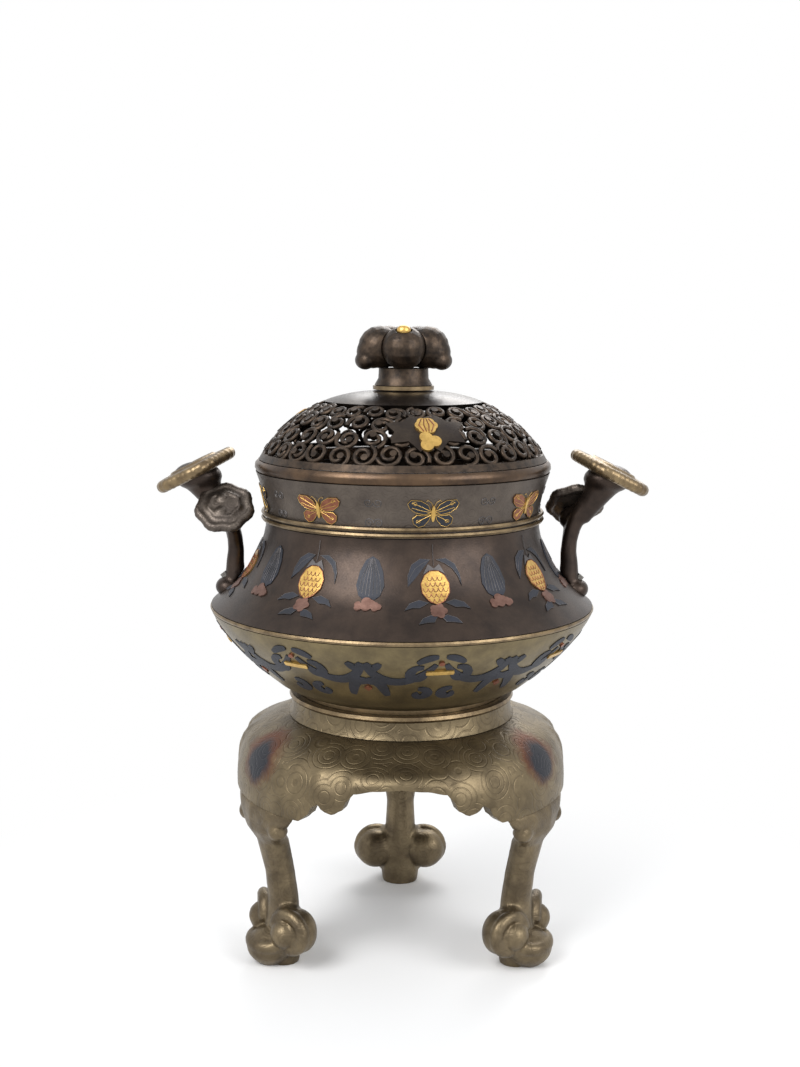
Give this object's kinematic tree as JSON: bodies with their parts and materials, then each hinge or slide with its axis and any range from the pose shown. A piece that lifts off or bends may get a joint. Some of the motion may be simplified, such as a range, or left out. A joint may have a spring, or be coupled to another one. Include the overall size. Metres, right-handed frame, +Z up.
{
  "type": "tripod incense burner",
  "caption": "Bronze incense burner with a pierced domed lid, fungus-shaped handles and a stand on three curved legs.",
  "frame": {"origin": "on the floor under the centre of the burner", "axes": "+Z up, the handles lie along X, the front faces -Y"},
  "size_m": [0.213, 0.1652, 0.2699],
  "materials": {
    "bronze_olive": "satin olive bronze with dark patina",
    "bronze_dark": "dark brown bronze, lighter on worn edges",
    "bronze_brown": "satin brown bronze",
    "bronze_grey": "satin grey-brown bronze with inlaid ornament",
    "brass_trim": "worn bright brass",
    "iron_fixings": "plain grey metal"
  },
  "bodies": {
    "stand": {"stand_drum": "bronze_olive", "stand_collar": "bronze_olive", "collar_bead": "brass_trim", "leg_left": "bronze_olive", "leg_right": "bronze_olive", "leg_back": "bronze_olive", "leg_dowel_left": "iron_fixings", "leg_dowel_right": "iron_fixings", "leg_dowel_back": "iron_fixings"},
    "bowl": {"bowl_foot_ring": "brass_trim", "bowl_belly": "bronze_olive", "bowl_ridge_band": "brass_trim", "bowl_shoulder": "bronze_brown", "bowl_neck": "bronze_grey", "neck_bead_lower": "brass_trim", "neck_bead_upper": "brass_trim", "handle_stalk_left": "bronze_brown", "handle_stalk_right": "bronze_brown", "handle_cap_left": "brass_trim", "handle_cap_right": "brass_trim", "handle_small_cap_left": "bronze_grey", "handle_small_cap_right": "bronze_grey", "handle_pin_left": "iron_fixings", "handle_pin_right": "iron_fixings"},
    "liner": {"ash_liner": "iron_fixings"},
    "lid": {"lid_flange": "bronze_dark", "lid_rim": "bronze_brown", "lid_dome": "bronze_dark", "finial_base_ring": "brass_trim", "finial_stem": "bronze_dark", "finial_washer": "iron_fixings", "finial_nut": "iron_fixings", "finial_lobe_1": "bronze_dark", "finial_lobe_2": "bronze_dark", "finial_lobe_3": "bronze_dark", "finial_lobe_4": "bronze_dark", "finial_lobe_5": "bronze_dark", "finial_button": "brass_trim"}
  },
  "joints": [
    {"name": "bowl_lift", "type": "slide", "parent": "stand", "child": "bowl", "axis": [0, 0, 1], "range_m": [0, 0.06]},
    {"name": "lid_lift", "type": "slide", "parent": "bowl", "child": "lid", "axis": [0, 0, 1], "range_m": [0, 0.06]},
    {"name": "liner_lift", "type": "slide", "parent": "bowl", "child": "liner", "axis": [0, 0, 1], "range_m": [0, 0.025]}
  ]
}
